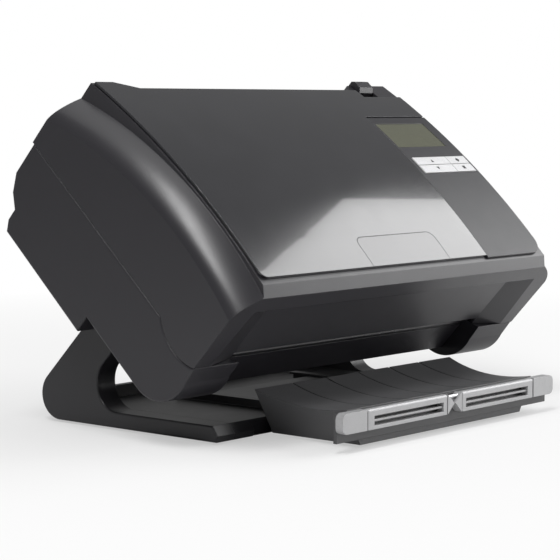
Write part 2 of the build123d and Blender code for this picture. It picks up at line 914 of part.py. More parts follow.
def upper_guide():
    """Make the cover's inner wall, which guides the paper from above."""
    low = path_high_n
    high = path_high_n + wall
    flare_n = low + throat_flare
    middle = body_prism([(exit_u - 11, low + 1.0), (exit_u, low), (throat_u, low),
                         (lip_end - 1, flare_n), (lip_end - 3, flare_n), (throat_u - 1, high),
                         (exit_u, high), (exit_u - 11, high + 1.0)], -lobe_inner_x + 0.5,
                        lobe_inner_x - 0.5)
    side = body_block(-casing_inner_x + 2, casing_inner_x - 2, slot_low_u, throat_u - 1, low, high)
    edge = body_block(-half_width + 8, half_width - 8, slot_low_u, throat_u - 1, high - part_gap,
                      high + 2)
    guide = middle + side + edge
    for u, radius in ((drive_u, idler_radius), (exit_roller_u, idler_radius)):
        guide += both(body_block(88, 92, u - 4, u + 4, low + 1, idler_n + 4))
        guide -= body_rod(u, idler_n, axle_radius + slip, -95, 95)
        for x in roller_places():
            guide -= roller_slot(x, u, radius, 0, 12)
    guide += both(body_block(18, 22, feed_u - 4, feed_u + 4, low + 1, separator_n + 4))
    guide -= body_rod(feed_u, separator_n, axle_radius + slip, -25, 25)
    guide -= roller_slot(0, feed_u, roller_radius, 4, 12)
    glass_half = sensor_length / 2 - 1 + fit
    sensor_half = sensor_length / 2 + fit
    reach = sensor_half_width + fit
    glass_top = path_high_n + glass_thickness
    guide -= body_block(-reach, reach, upper_sensor_u - glass_half, upper_sensor_u + glass_half, -5, 20)
    guide -= body_block(-reach, reach, upper_sensor_u - sensor_half, upper_sensor_u + sensor_half,
                        glass_top + 0.03, 20)
    hook_low = latch_u - 8
    guide -= both(body_block(hook_x - 1, hook_x + hook_thickness + 1, hook_low, throat_u + 8, -5, 20))
    return guide


def roller_places():
    """Give the x of each rubber ring on the drive and exit shafts."""
    return [-72.0, -26.0, 26.0, 72.0]


def roller_slot(x, u, radius, extra, n_span):
    """Make the cut that a roller needs in a guide."""
    half = roller_half + extra + roller_slot_play
    chord = radius + roller_slot_play
    return body_block(x - half, x + half, u - chord, u + chord, -n_span, n_span)


def sensor(u, n_low, n_high):
    """Make one image sensor bar."""
    half = sensor_length / 2
    bar = body_block(-sensor_half_width, sensor_half_width, u - half, u + half, n_low, n_high)
    return bar


def sensor_glass(u, n_low, n_high):
    """Make the glass strip over an image sensor."""
    half = sensor_length / 2 - 1
    return body_block(-sensor_half_width, sensor_half_width, u - half, u + half, n_low, n_high)


def rings(u, n, radius, bore, places, half):
    """Make rubber rings on a shaft."""
    made = []
    for x in places:
        ring = body_rod(u, n, radius, x - half, x + half)
        made.append(ring - body_rod(u, n, bore, x - half - 1, x + half + 1))
    return made


def idlers(u):
    """Make an idler axle with its rings, as one turned piece."""
    axle = body_rod(u, idler_n, axle_radius, -94, 94)
    for x in roller_places():
        axle += body_rod(u, idler_n, idler_radius, x - roller_half, x + roller_half)
    return axle


def separation_roller():
    """Make the roller that holds back the second sheet."""
    axle = body_rod(feed_u, separator_n, axle_radius, -24, 24)
    return axle + body_rod(feed_u, separator_n, roller_radius, -10, 10)


def cover_hinge_pins():
    """Make the pins that the cover turns on."""
    low = ear_plate_x - 4
    return pair(body_rod(cover_hinge_u, cover_hinge_n, cover_pin_radius, low,
                         ear_plate_x + ear_plate_thickness + 4))


def latch_bar():
    """Make the latch bar with the two hooks that hold the cover shut."""
    reach = hook_x + hook_thickness + 6
    points = [
        (latch_u - 4.5, latch_n + 3),
        (latch_u + 4.5, latch_n + 3),
        (latch_u + 4.5, latch_n - 5),
        (latch_u + 1.5, latch_n - 12),
        (latch_u + 1.5, -6),
        (latch_u - 5, -6),
        (latch_u - 5, -4),
        (latch_u - 2.5, -3.2),
        (latch_u - 2.5, latch_n - 12),
        (latch_u - 4.5, latch_n - 5),
    ]
    hook = body_prism(points, hook_x, hook_x + hook_thickness)
    return body_rod(latch_u, latch_n, latch_radius, -reach, reach) + both(hook)


def release_lever():
    """Make the lever that stands up at the top right corner."""
    front = front_n(cover_end - 4)
    points = [
        (latch_u - 4.5, latch_n - 3),
        (latch_u + 4.5, latch_n - 3),
        (latch_u + 13, latch_n + 10),
        (cover_end + 1.5, front - 4),
        (cover_end + 1.5, front + 2),
        (cover_end - 1, front + 4),
        (cover_end - 7, front + 4),
        (cover_end - 9.5, front + 1),
        (latch_u + 4, latch_n + 8),
        (latch_u - 4.5, latch_n + 4),
    ]
    lever = body_prism(points, lever_left_x, lever_right_x)
    return lever - body_rod(latch_u, latch_n, latch_radius + fit, lever_left_x - 1, lever_right_x + 1)


# Rear housing

def casing_outline(margin):
    """Give a casing's side outline, with its seat for the cover and its lobe."""
    top = casing_end - margin
    back = casing_back + margin
    arc, seam_point, end_point = hinge_arc(seat_radius + margin, casing_seam - margin, True)
    shift = margin
    end_n = -end_point[0]
    lobe_r = lobe_radius - margin
    touch_n = end_n - 12.0
    lift = math.sqrt(lobe_r ** 2 - (touch_n - lobe_n) ** 2)
    side = math.sqrt(0.5) * lobe_r
    return [
        arc,
        Line(end_point, body_point(lobe_u - lift, touch_n)),
        ThreePointArc(body_point(lobe_u - lift, touch_n), body_point(lobe_u - side, lobe_n - side),
                      body_point(lobe_u, lobe_n - lobe_r)),
        Polyline(body_point(lobe_u, lobe_n - lobe_r), body_point(wing_low_u + shift, back),
                 *[body_point(u, n) for u, n in wing_end(shift)],
                 body_point(172.5 - shift, back + 3.4), body_point(181 - shift, back + 10.3),
                 body_point(top, -21.7), body_point(top, casing_seam - margin), seam_point),
    ]


def wing_end(margin):
    """Give the outline of the casing's deeper part behind the body, from its lower end up."""
    return [
        (wing_low_u + margin, slab_low_n + margin),
        (slab_hinge_u + 2.3 - margin / 2, slab_low_n + margin),
        (slab_hinge_u + 6.3 - margin, slab_n + 1),
    ]


def wing(margin, x_low, x_high):
    """Make the part of the wing that reaches in to the input tray."""
    front = rear_back - part_gap - margin
    low = slot_high_u + 1 + margin
    points = [(low, front), (low, slab_low_n + margin), *wing_end(margin)[1:],
              (slab_hinge_u + 6.3 - margin, front)]
    return body_prism(points, x_low, x_high)


def casing():
    """Make the right casing: side wall, rim, lobe, wing, hinge ear and tilt boss."""
    outer = prism(casing_outline(0), casing_inner_x, half_width)
    lobe_cut = body_block(lobe_inner_x - 1, half_width + 1, slot_low_u - 2, casing_end + 5, -60, 20)
    lobe = prism(casing_outline(0), lobe_inner_x, casing_inner_x + 1) - lobe_cut
    cavity = prism(casing_outline(wall), casing_inner_x - 1, half_width - wall)
    lobe_cavity = prism(casing_outline(wall), lobe_inner_x + wall, casing_inner_x + 1)
    lobe_cavity -= body_block(lobe_inner_x - 1, half_width + 1, slot_low_u - 2 - wall,
                              casing_end + 5, -60, 20)
    cavity -= body_block(casing_inner_x - 2, casing_inner_x + wall, wing_low_u - 1,
                         slot_high_u + 1 + wall, -60, rear_back)
    outer_face = outer.faces().sort_by(Axis.X)[-1]
    outer = fillet(outer_face.edges(), 1.5)
    shell = (outer + lobe) - cavity - lobe_cavity
    shell += wing(0, wing_inner_x, casing_inner_x + 0.5)
    shell -= wing(wall, wing_inner_x + wall, casing_inner_x + wall)
    shell -= body_rod(slab_hinge_u, slab_n, slab_pin_radius + slip, wing_inner_x - 1, wing_inner_x + 5)
    shell += hinge_ear()
    boss = body_rod(pivot_u, pivot_n, pivot_radius + 4, casing_inner_x + 0.5, half_width - 1)
    shell += boss
    return shell - body_rod(pivot_u, pivot_n, pivot_radius + slip, casing_inner_x, casing_inner_x + 6)


def hinge_ear():
    """Make the ear that carries a cover hinge pin, on a stem that the open cover clears."""
    reach = seat_radius + 6
    points = [(cover_hinge_u, cover_hinge_n)]
    for degrees in (-51, -45):
        angle = math.radians(degrees)
        points.append((cover_hinge_u + reach * math.cos(angle), cover_hinge_n + reach * math.sin(angle)))
    low = ear_plate_x
    high = ear_plate_x + ear_plate_thickness
    ear = body_prism(points, low, high)
    ear += body_rod(cover_hinge_u, cover_hinge_n, ear_disc_radius, low, high)
    return ear - body_rod(cover_hinge_u, cover_hinge_n, cover_pin_radius + slip, low - 1, high + 1)


def rear_outline(inset):
    """Give the rear cover's outline in (u, n)."""
    top = casing_end - inset
    back = rear_back + inset
    low = rear_bottom_u + inset
    return [
        (top, path_low_n - 1),
        (top, -21.7),
        (181 - inset, -33.2 + inset * 0.6),
        (172.5 - inset, -40.0 + inset * 0.8),
        (168 - inset, back),
        (24 + inset * 0.4, back),
        (low, -34),
        (low, path_low_n - 1),
    ]


def rear_cover():
    """Make the back, top and bottom walls between the casings."""
    narrow = plate_inner_x + plate_thickness + 0.5
    wide = casing_inner_x - part_gap
    lobe_gap = lobe_inner_x - part_gap
    strip = body_prism(rear_outline(0), -wide, wide) - body_prism(rear_outline(rear_wall), -wide, wide)
    strip -= body_block(-wide, wide, 0, casing_end - 1, exit_low_n - part_gap, 5)
    strip -= body_block(-wide, wide, 150, casing_end + 1, -16.5, 5)
    strip -= both(body_block(narrow, wide + 1, slot_low_u, slot_high_u, -60, 5))
    strip -= both(body_block(lobe_gap, wide + 1, 0, slot_low_u + 1, -60, 5))
    strip += motor_bracket()
    cut_high = rear_back + 7
    for x in (power_inlet_x, usb_x):
        half = socket_size / 2 + 0.2
        strip -= body_block(x - half, x + half, socket_u - half, socket_u + half, -60, cut_high)
    strip -= normal_rod(power_button_x, socket_u, power_button_radius + part_gap, -60, cut_high)
    inner_back = rear_back + rear_wall
    for x in (15 - plate_inner_x, -30.0, 40.0):
        strip += normal_rod(x, socket_u, 3.0, inner_back - 0.5, io_board_n - board_thickness / 2 - fit)
    for x in (34 - plate_inner_x, plate_inner_x - 34):
        for u in (92.0, 142.0):
            strip += normal_rod(x, u, 3.0, inner_back - 0.5, main_board_n - board_thickness / 2 - fit)
    return strip


def chassis_plate():
    """Make the right steel plate that carries the shafts and the tilt pin."""
    top = path_low_n - guide_thickness - part_gap
    inset = rear_wall + part_gap
    points = [
        (rear_bottom_u + inset, exit_low_n - part_gap),
        (exit_u + 1.5, top),
        (throat_u - 2, top),
        (casing_end - inset, -17.5),
        *rear_outline(inset)[1:-1],
    ]
    plate = body_prism(points, plate_inner_x, plate_inner_x + plate_thickness)
    for u in (feed_u, drive_u, exit_roller_u):
        plate -= body_rod(u, roller_n, bush_radius + fit, plate_inner_x - 1, plate_inner_x + 5)
    return plate - body_rod(pivot_u, pivot_n, pivot_radius + slip, plate_inner_x - 1, plate_inner_x + 5)


def lower_guide():
    """Make the fixed paper guide with slots for rollers and glass, and a strip at each side."""
    top = path_low_n
    low = path_low_n - guide_thickness
    ramp_end = casing_end - 0.2
    points = [
        (rear_bottom_u + 0.2, exit_low_n + 2),
        (exit_u, top),
        (throat_u, top),
        (ramp_end, top - 13.6),
        (ramp_end, top - 15.2),
        (ramp_end - 1.2, top - 15.2),
        (throat_u - 0.8, low),
        (exit_u + 0.6, low),
        (rear_bottom_u + 0.2, exit_low_n),
    ]
    guide = body_prism(points, -lobe_inner_x + 0.4, lobe_inner_x - 0.4)
    for u in (drive_u, exit_roller_u):
        for x in roller_places():
            guide -= roller_slot(x, u, roller_radius, 0, 12)
    for x in feed_places():
        guide -= roller_slot(x, feed_u, roller_radius, 3, 12)
    half = sensor_length / 2 - 1 + fit
    guide -= body_block(-sensor_half_width - fit, sensor_half_width + fit, lower_sensor_u - half,
                        lower_sensor_u + half, -6, 5)
    strip = body_block(lobe_inner_x - 0.1, casing_inner_x - 0.4, slot_low_u, latch_u - 6.5, low, top)
    return [guide, *pair(strip)]


def feed_places():
    """Give the x of the two feed rollers."""
    return [-16.0, 16.0]


def shaft(u):
    """Make one driven shaft with its belt pulley."""
    end = plate_inner_x + plate_thickness + 1
    return body_rod(u, roller_n, shaft_radius, -end, end) + pulley(u, roller_n, pulley_radius)


def shaft_bushes():
    """Make the bushes that carry the three shafts in the chassis plates."""
    made = []
    for u in (feed_u, drive_u, exit_roller_u):
        bush = body_rod(u, roller_n, bush_radius, plate_inner_x - 0.8, plate_inner_x + plate_thickness)
        bush -= body_rod(u, roller_n, shaft_radius + slip, plate_inner_x - 2, plate_inner_x + 5)
        made += pair(bush)
    return made


def pulley(u, n, radius):
    """Make one plain belt pulley."""
    return body_rod(u, n, radius, pulley_x, pulley_x + pulley_width)


def belt_loop(extra):
    """Give the loop round all four pulleys, grown by extra."""
    circles = []
    for u, n, radius in (
        (feed_u, roller_n, pulley_radius),
        (exit_roller_u, roller_n, pulley_radius),
        (motor_u, motor_n, motor_pulley_radius),
    ):
        circles += (Pos(-n, u) * Circle(radius + extra)).edges()
    return make_hull(circles)


def drive_belt():
    """Make the belt that runs from the motor to the three shafts."""
    inner = 0.12
    face = belt_loop(inner + belt_thickness) - belt_loop(inner)
    return extrude(Plane.YZ.offset(pulley_x + 0.3) * face, pulley_width - 0.6)


def motor():
    """Make the motor can with its front boss."""
    right = pulley_x - 8
    can = body_rod(motor_u, motor_n, motor_radius, right - motor_length - 2, right - 2)
    can += body_rod(motor_u, motor_n, 4.0, right - 3, right + 1.0)
    return can - body_rod(motor_u, motor_n, motor_shaft_radius + slip, right - 20, right + 2)


def motor_bracket():
    """Make the wall on the rear cover that holds the motor."""
    right = pulley_x - 8
    back = rear_back + rear_wall - 0.5
    plate = body_block(right - 2, right, motor_u - 16, motor_u + 16, back, motor_n + 15)
    plate -= body_rod(motor_u, motor_n, 4.0 + slip, right - 3, right + 1)
    return plate


def motor_pulley():
    """Make the motor's output shaft with its pulley."""
    bar = body_rod(motor_u, motor_n, motor_shaft_radius, pulley_x - 27, pulley_x + pulley_width + 1)
    return bar + pulley(motor_u, motor_n, motor_pulley_radius)


def main_board():
    """Make the control board with its larger chips."""
    half = board_thickness / 2
    reach = plate_inner_x - 28
    board = body_block(-reach, reach, 86, 148, main_board_n - half, main_board_n + half)
    for x, u, size, tall in ((-40, 112, 20, 2.2), (10, 128, 26, 3.0), (52, 104, 14, 6.0), (-8, 98, 12, 4.0)):
        board += body_block(x - size / 2, x + size / 2, u - size / 2, u + size / 2, main_board_n,
                            main_board_n + half + tall)
    return board


def io_board():
    """Make the small board behind the sockets, with the power switch on it."""
    half = board_thickness / 2
    board = body_block(10 - plate_inner_x, 70, socket_u - 10, socket_u + 9, io_board_n - half,
                       io_board_n + half)
    return board + body_block(power_button_x - 4, power_button_x + 4, socket_u - 4, socket_u + 4,
                              power_low_n() + power_travel + part_gap, io_board_n)


def power_low_n():
    """Give the inner end of the power button."""
    return rear_back + 5.0


def power_inlet():
    """Make the round power socket with its centre pin."""
    half = socket_size / 2
    top = io_board_n - board_thickness / 2 - fit
    shell = body_block(power_inlet_x - half, power_inlet_x + half, socket_u - half, socket_u + half,
                       rear_back, top)
    shell -= normal_rod(power_inlet_x, socket_u, 3.2, rear_back - 1, rear_back + 9)
    return shell + normal_rod(power_inlet_x, socket_u, 1.0, rear_back + 1, rear_back + 9.5)


def usb_port():
    """Make the square data socket with its tongue."""
    half = socket_size / 2
    top = io_board_n - board_thickness / 2 - fit
    shell = body_block(usb_x - half, usb_x + half, socket_u - half, socket_u + half, rear_back, top)
    shell -= body_block(usb_x - 4.4, usb_x + 4.4, socket_u - 4, socket_u + 4, rear_back - 1, rear_back + 9)
    return shell + body_block(usb_x - 2.8, usb_x + 2.8, socket_u - 1.6, socket_u + 1.6, rear_back + 1,
                              rear_back + 9.5)


def power_button():
    """Make the round power button beside the sockets."""
    return normal_rod(power_button_x, socket_u, power_button_radius, rear_back - 1.6, power_low_n())


def casing_screws():
    """Make the screws that hold the rear cover to the casings and the chassis."""
    made = []
    outer_x = plate_inner_x - 8
    for x, u in ((outer_x, 30.0), (outer_x, 54.0), (20.0, 54.0)):
        head = normal_rod(x, u, 3.0, rear_back - 1.2, rear_back)
        slot = body_block(x - 3, x + 3, u - 0.4, u + 0.4, rear_back - 2, rear_back - 0.6)
        made += pair(head - slot)
    return made


# Input tray

def slab_profile():
    """Give the input tray's side outline with its round hinge end."""
    high = slab_high_n
    low = slab_low_n
    return [
        Polyline(body_point(slab_hinge_u, low), body_point(slab_end_u, low), body_point(slab_end_u, high),
                 body_point(slab_hinge_u, high)),
        ThreePointArc(body_point(slab_hinge_u, high),
                      body_point(slab_hinge_u + slab_half_thickness, slab_n),
                      body_point(slab_hinge_u, low)),
    ]


def input_tray():
    """Make the input tray with its paper bed, hinge end and pins."""
    half = slab_half
    tray = prism(slab_profile(), -half, half)
    tray -= body_block(-paper_bed_half_width, paper_bed_half_width, slab_end_u - 1, slab_hinge_u + 8,
                       slab_low_n - 1, bed_low_n)
    tray -= body_block(-paper_bed_half_width + 3, paper_bed_half_width - 3, slab_end_u + wall,
                       slab_hinge_u - 8, bed_high_n, slab_high_n + 1)
    slot = input_extension_half_width + part_gap
    tray -= body_block(-slot, slot, slab_end_u - 1, slab_end_u + wall + 1, bed_high_n, slab_high_n + 1)
    for side in (-1, 1):
        tray += extension_rail(side)
        tray -= guide_slot(side)
    tray += normal_rod(0, pinion_u, 2.0, bed_high_n - 1, bed_high_n + 4.4)
    pin = body_rod(slab_hinge_u, slab_n, slab_pin_radius, half - 1, wing_inner_x + 4)
    return tray + both(pin)


def extension_rail(side):
    """Make a rail for the input tray's extension, under the bed."""
    inner = input_extension_half_width + part_gap
    low_u = slab_end_u + wall
    high_u = input_extension_high_u
    rail = body_block(inner, inner + 2, low_u - 1, high_u, bed_high_n - 0.5, slab_high_n - 0.2)
    rail += body_block(inner - 4, inner + 2, low_u - 1, high_u, slab_high_n - 1.1, slab_high_n - 0.2)
    return rail if side > 0 else mirror(rail, about=Plane.YZ)


def guide_slot(side):
    """Make the slot in the bed that a side guide's link runs in."""
    pitch_u = pinion_u - side * pinion_radius
    centre = pitch_u - side * 2.4
    low_x = guide_face_x - guide_travel - 4
    high_x = guide_face_x + 0.4
    slot = body_block(low_x, high_x, centre - 1.3, centre + 1.3, bed_low_n - 1, bed_high_n + 1)
    return slot if side > 0 else mirror(slot, about=Plane.YZ)


def input_extension():
    """Make the flat extension that slides out of the input tray's free end."""
    half = input_extension_half_width
    low_n = bed_high_n + part_gap
    high_n = slab_high_n - 1.1 - part_gap
    plate = body_block(-half, half, slab_end_u + 0.5, input_extension_high_u - 1, low_n + 1.0, high_n)
    return plate + body_block(-12, 12, slab_end_u - 2.5, slab_end_u + 3, low_n + 0.4, high_n)


def rack_points(start, count):
    """Give the tooth outline of a rack along x, as (x, depth) with the teeth up."""
    tip = 0.7 * gear_module
    root = 0.95 * gear_module
    half = tooth_pitch / 4 - backlash / 2
    lean = math.tan(math.radians(20))
    points = []
    for index in range(count):
        middle = start + index * tooth_pitch
        points += [
            (middle - half - root * lean, -root),
            (middle - half + tip * lean, tip),
            (middle + half - tip * lean, tip),
            (middle + half + root * lean, -root),
        ]
    return points


def side_guide(side):
    """Make a side guide with its rack; side is 1 at the right and -1 at the left."""
    low_n = bed_low_n - part_gap
    blade = body_block(guide_face_x, guide_face_x + guide_blade, guide_low_u, guide_high_u,
                       guide_top_n, low_n)
    foot = body_block(guide_face_x - 8, guide_face_x + guide_blade, guide_low_u, guide_high_u,
                      low_n - 1.2, low_n)
    centre = pinion_u - side * (pinion_radius + 2.4)
    rack_low_n = bed_high_n + part_gap
    link = body_block(guide_face_x - 3, guide_face_x, centre - 1, centre + 1,
                      low_n - 1, rack_low_n + 1)
    root = 0.95 * gear_module
    teeth = rack_points(-tooth_pitch * 1.5, rack_teeth)
    end_x = guide_face_x
    outline = [(-tooth_pitch * 2, -root), *teeth, (end_x, -root), (end_x, -root - rack_bar),
               (-tooth_pitch * 2, -root - rack_bar)]
    points = [(x, pinion_u - side * (pinion_radius - depth)) for x, depth in outline]
    rack = normal_prism(points, rack_low_n, rack_low_n + 3.2)
    guide = blade + foot + link + rack
    return guide if side > 0 else mirror(guide, about=Plane.YZ)


def involute(angle):
    """Give the involute of a pressure angle."""
    return math.tan(angle) - angle


def guide_pinion():
    """Make the pinion that keeps the side guides centred."""
    pressure = math.radians(20)
    base = pinion_radius * math.cos(pressure)
    tip = pinion_radius + 0.7 * gear_module
    root = pinion_radius - 0.95 * gear_module
    half_tooth = (tooth_pitch / 2 - backlash) / 2 / pinion_radius
    flank = []
    for step in range(5):
        radius = base + (tip - base) * step / 4
        spread = half_tooth + involute(pressure) - involute(math.acos(min(1, base / radius)))
        flank.append((radius, spread))
    flank.insert(0, (root, flank[0][1]))
    points = []
    for tooth in range(pinion_teeth):
        middle = math.pi / 2 + tooth * 2 * math.pi / pinion_teeth
        for radius, spread in flank:
            points.append((radius, middle - spread))
        for radius, spread in reversed(flank):
            points.append((radius, middle + spread))
    places = [(r * math.cos(a), pinion_u + r * math.sin(a)) for r, a in points]
    low_n = bed_high_n + part_gap
    gear = normal_prism(places, low_n, low_n + 3.2)
    return gear - normal_rod(0, pinion_u, 2.0 + slip, low_n - 1, low_n + 5)


def base_nodes():
    """Write the base, the output tray and the end stops."""
    arm = base_arm()
    save("base_plate", base_plate(), base_place)
    save("base_arm_left", mirror(arm, about=Plane.YZ), base_place)
    save("base_arm_right", arm, base_place)
    save("rubber_feet", rubber_feet(), base_place)
    save("base_screws", base_screws(), base_place)
    save("output_tray", output_tray(), base_place)
    save("tray_extension", tray_extension(), base_place)
    save("stop_end_caps", stop_end_caps(), base_place)
    save("stop_centre_joint", stop_centre_joint(), base_place)
    save("stop_hinge_rod", stop_hinge_rod(), base_place)
    stop = end_stop()
    save("end_stop_left", mirror(stop, about=Plane.YZ), base_place)
    save("end_stop_right", stop, base_place)


def rear_nodes():
    """Write the rear housing and the paper drive."""
    right = casing()
    save("casing_left", mirror(right, about=Plane.YZ), body_place)
    save("casing_right", right, body_place)
    save("rear_cover", rear_cover(), body_place)
    save("casing_screws", casing_screws(), body_place)
    plate = chassis_plate()
    save("chassis_plates", pair(plate), body_place)
    save("lower_guide", lower_guide(), body_place)
    sensor_top = path_low_n - glass_thickness - 0.05
    save("lower_sensor", sensor(lower_sensor_u, sensor_top - sensor_height, sensor_top), body_place)
    save("lower_glass", sensor_glass(lower_sensor_u, path_low_n - glass_thickness, path_low_n), body_place)
    ring_bore = shaft_radius + fit
    ring_set = rings(feed_u, roller_n, roller_radius, ring_bore, feed_places(), feed_roller_half)
    save("feed_rollers", ring_set, body_place)
    for name, u in (("drive", drive_u), ("exit", exit_roller_u)):
        ring_set = rings(u, roller_n, roller_radius, ring_bore, roller_places(), roller_half)
        save(f"{name}_rollers", ring_set, body_place)
    for name, u in (("feed", feed_u), ("drive", drive_u), ("exit", exit_roller_u)):
        save(f"{name}_shaft", shaft(u), body_place)
    save("shaft_bushes", shaft_bushes(), body_place)
    save("motor", motor(), body_place)
    save("motor_pulley", motor_pulley(), body_place)
    save("drive_belt", drive_belt(), body_place)
    save("main_board", main_board(), body_place)
    save("io_board", io_board(), body_place)
    save("power_inlet", power_inlet(), body_place)
    save("usb_port", usb_port(), body_place)
    save("power_button", power_button(), body_place)


def cover_nodes():
    """Write the front cover and what it carries."""
    shell, corners = cover_shell()
    save("cover_shell", shell, body_place)
    save("cover_corners", corners, body_place)
    save("glossy_panel", glossy_panel(), body_place)
    save("finger_pad", finger_pad(), body_place)
    save("control_strip", control_strip(), body_place)
    save("display_window", display_window(), body_place)
    save("button_board", button_board(), body_place)
    for name, column, row in (("up", 0, 1), ("down", 0, 0), ("start", 1, 1), ("stop", 1, 0)):
        save(f"{name}_button", button(column, row), body_place)
    save("upper_guide", upper_guide(), body_place)
    glass_top = path_high_n + glass_thickness
    save("upper_glass", sensor_glass(upper_sensor_u, path_high_n, glass_top), body_place)
    sensor_low = glass_top + 0.05
    save("upper_sensor", sensor(upper_sensor_u, sensor_low, sensor_low + sensor_height), body_place)
    save("middle_idlers", idlers(drive_u), body_place)
    save("exit_idlers", idlers(exit_roller_u), body_place)
    save("separation_roller", separation_roller(), body_place)
    save("cover_hinge_pins", cover_hinge_pins(), body_place)
    save("latch_bar", latch_bar(), body_place)
    save("release_lever", release_lever(), body_place)


def input_nodes():
    """Write the input tray and what slides on it."""
    save("input_tray", input_tray(), body_place)
    save("input_extension", input_extension(), body_place)
    save("side_guide_left", side_guide(-1), body_place)
    save("side_guide_right", side_guide(1), body_place)
    save("guide_pinion", guide_pinion(), body_place)


if __name__ == "__main__":
    os.makedirs("parts", exist_ok=True)
    base_nodes()
    rear_nodes()
    cover_nodes()
    input_nodes()
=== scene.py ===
import math

import bmesh
import bpy
from bpy.props import FloatProperty, FloatVectorProperty, PointerProperty
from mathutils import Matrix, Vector


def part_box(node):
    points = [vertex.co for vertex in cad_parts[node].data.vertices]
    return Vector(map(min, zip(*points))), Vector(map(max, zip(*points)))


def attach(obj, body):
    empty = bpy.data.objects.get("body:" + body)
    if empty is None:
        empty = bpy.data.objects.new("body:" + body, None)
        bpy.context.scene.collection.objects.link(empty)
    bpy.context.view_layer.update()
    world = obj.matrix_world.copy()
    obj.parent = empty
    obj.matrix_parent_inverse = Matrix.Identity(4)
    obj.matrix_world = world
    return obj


bl_info = {
    "name": "Document scanner finish",
    "version": (1, 0, 0),
    "blender": (4, 5, 0),
    "location": "View3D > Sidebar > Scanner",
    "description": "Finishes a sheet-fed document scanner and sets it on a plain stage",
    "category": "Object",
}

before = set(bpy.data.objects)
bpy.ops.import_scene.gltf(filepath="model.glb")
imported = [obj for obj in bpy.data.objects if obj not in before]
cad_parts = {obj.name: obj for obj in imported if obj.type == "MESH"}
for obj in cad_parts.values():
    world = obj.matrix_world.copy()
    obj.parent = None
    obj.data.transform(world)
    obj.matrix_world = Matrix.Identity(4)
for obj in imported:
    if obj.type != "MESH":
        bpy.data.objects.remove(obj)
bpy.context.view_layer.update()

# The body leans back by this much from the desk, and the cover's front is a long arc.
RECLINE = math.radians(42.8)
BODY_UP = Vector((0, math.cos(RECLINE), math.sin(RECLINE)))
BODY_OUT = Vector((0, -math.sin(RECLINE), math.cos(RECLINE)))
# Where the lower front corner of the body's seam lies, from the rear of the base.
BODY_CORNER = Vector((0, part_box("base_arm_right")[1][1] - 0.1638, 0.0505))
FRONT_RADIUS = 0.6
FRONT_APEX = 0.065
FRONT_HEIGHT = 0.068

# Where the button marks lie on the cover's front: across, up the body, half size and thickness.
LEFT_MARK_X, RIGHT_MARK_X = 0.1032, 0.1332
LOW_MARK_U, HIGH_MARK_U = 0.0889, 0.0966
MARK_SIZE = 0.0015
MARK_LIFT = 0.00021
MARK_THICKNESS = 0.00003
DISPLAY_DOT = 0.00035

# Lamps, as place, aim and size in metres.
KEY_LAMP = ((1.25, -0.72, 0.66), (0.0, 0.0, 0.12), (1.3, 1.3))
SIDE_LAMP = ((-0.8, -0.34, 1.35), (0.0, 0.0, 0.12), (0.28, 0.8))
TOP_LAMP = ((0.0, 0.2, 1.8), (0.0, 0.0, 0.0), (1.4, 1.4))

# The floor turns into the backdrop from FADE_START on, over FADE_LENGTH.
FLOOR_SIZE = 3.0
FADE_START = 0.2
FADE_LENGTH = 0.7
NEAR_WHITE = 0.48

# The camera stands low at the left front, placed from the lower front corner of the body.
CAMERA_X, CAMERA_Z = -0.99977, 0.20383
CAMERA_FROM_CORNER_Y = -0.77937
CAMERA_TURN = math.radians(49.5)
CAMERA_DIP = math.radians(5.07)
SENSOR_WIDTH = 36.0


def colour_property(name, text, value):
    """Make a linear colour property."""
    return FloatVectorProperty(name=name, description=text, default=value, size=3, subtype="COLOR",
                               min=0.0, max=1.0)


def length_property(name, text, value):
    """Make a length property in metres."""
    return FloatProperty(name=name, description=text, default=value, unit="LENGTH", precision=5)


def factor_property(name, text, value):
    """Make a share from 0 to 1."""
    return FloatProperty(name=name, description=text, default=value, subtype="FACTOR", min=0.0, max=1.0)


class ScannerColours(bpy.types.PropertyGroup):
    """Colours of the scanner's plastics, metals and glass."""

    base: colour_property("Base", "Plastic of the base and its arms", (0.016, 0.0155, 0.018))
    casing: colour_property("Casing", "Plastic of the rear casings", (0.022, 0.021, 0.025))
    cover: colour_property("Cover", "Plastic of the front cover", (0.024, 0.023, 0.027))
    panel: colour_property("Panel", "Gloss plastic of the front panel", (0.016, 0.016, 0.019))
    strip: colour_property("Strip", "Dull plastic of the control strip", (0.02, 0.0195, 0.023))
    display: colour_property("Display", "Blank display", (0.092, 0.095, 0.062))
    silver: colour_property("Silver", "Silver paint of buttons and stops", (0.68, 0.68, 0.69))
    marks: colour_property("Marks", "Printed marks on the buttons", (0.02, 0.02, 0.022))
    tray: colour_property("Tray", "Plastic of the output tray", (0.085, 0.085, 0.088))
    guide: colour_property("Guide", "Plastic of the paper guides", (0.014, 0.0135, 0.016))
    rubber: colour_property("Rubber", "Rubber of rollers and feet", (0.03, 0.03, 0.031))
    steel: colour_property("Steel", "Bare steel of shafts and screws", (0.55, 0.55, 0.56))
    zinc: colour_property("Zinc", "Zinc coat of the chassis", (0.42, 0.43, 0.44))
    board: colour_property("Board", "Lacquer of the circuit boards", (0.015, 0.09, 0.04))


class ScannerFinish(bpy.types.PropertyGroup):
    """Sizes of the grain, wear and rounding that the finishes show."""

    grain: length_property("Grain", "Size of the plastic's fine grain", 0.0004)
    grain_depth: length_property("Grain depth", "Depth of the plastic's fine grain", 0.00001)
    edge: length_property("Edge rounding", "Radius at which sharp edges catch light", 0.0006)
    wear: factor_property("Wear", "How much edges are rubbed pale", 0.3)
    satin: factor_property("Satin roughness", "Roughness of the satin plastics", 0.36)
    gloss: factor_property("Gloss roughness", "Roughness of the front panel", 0.14)


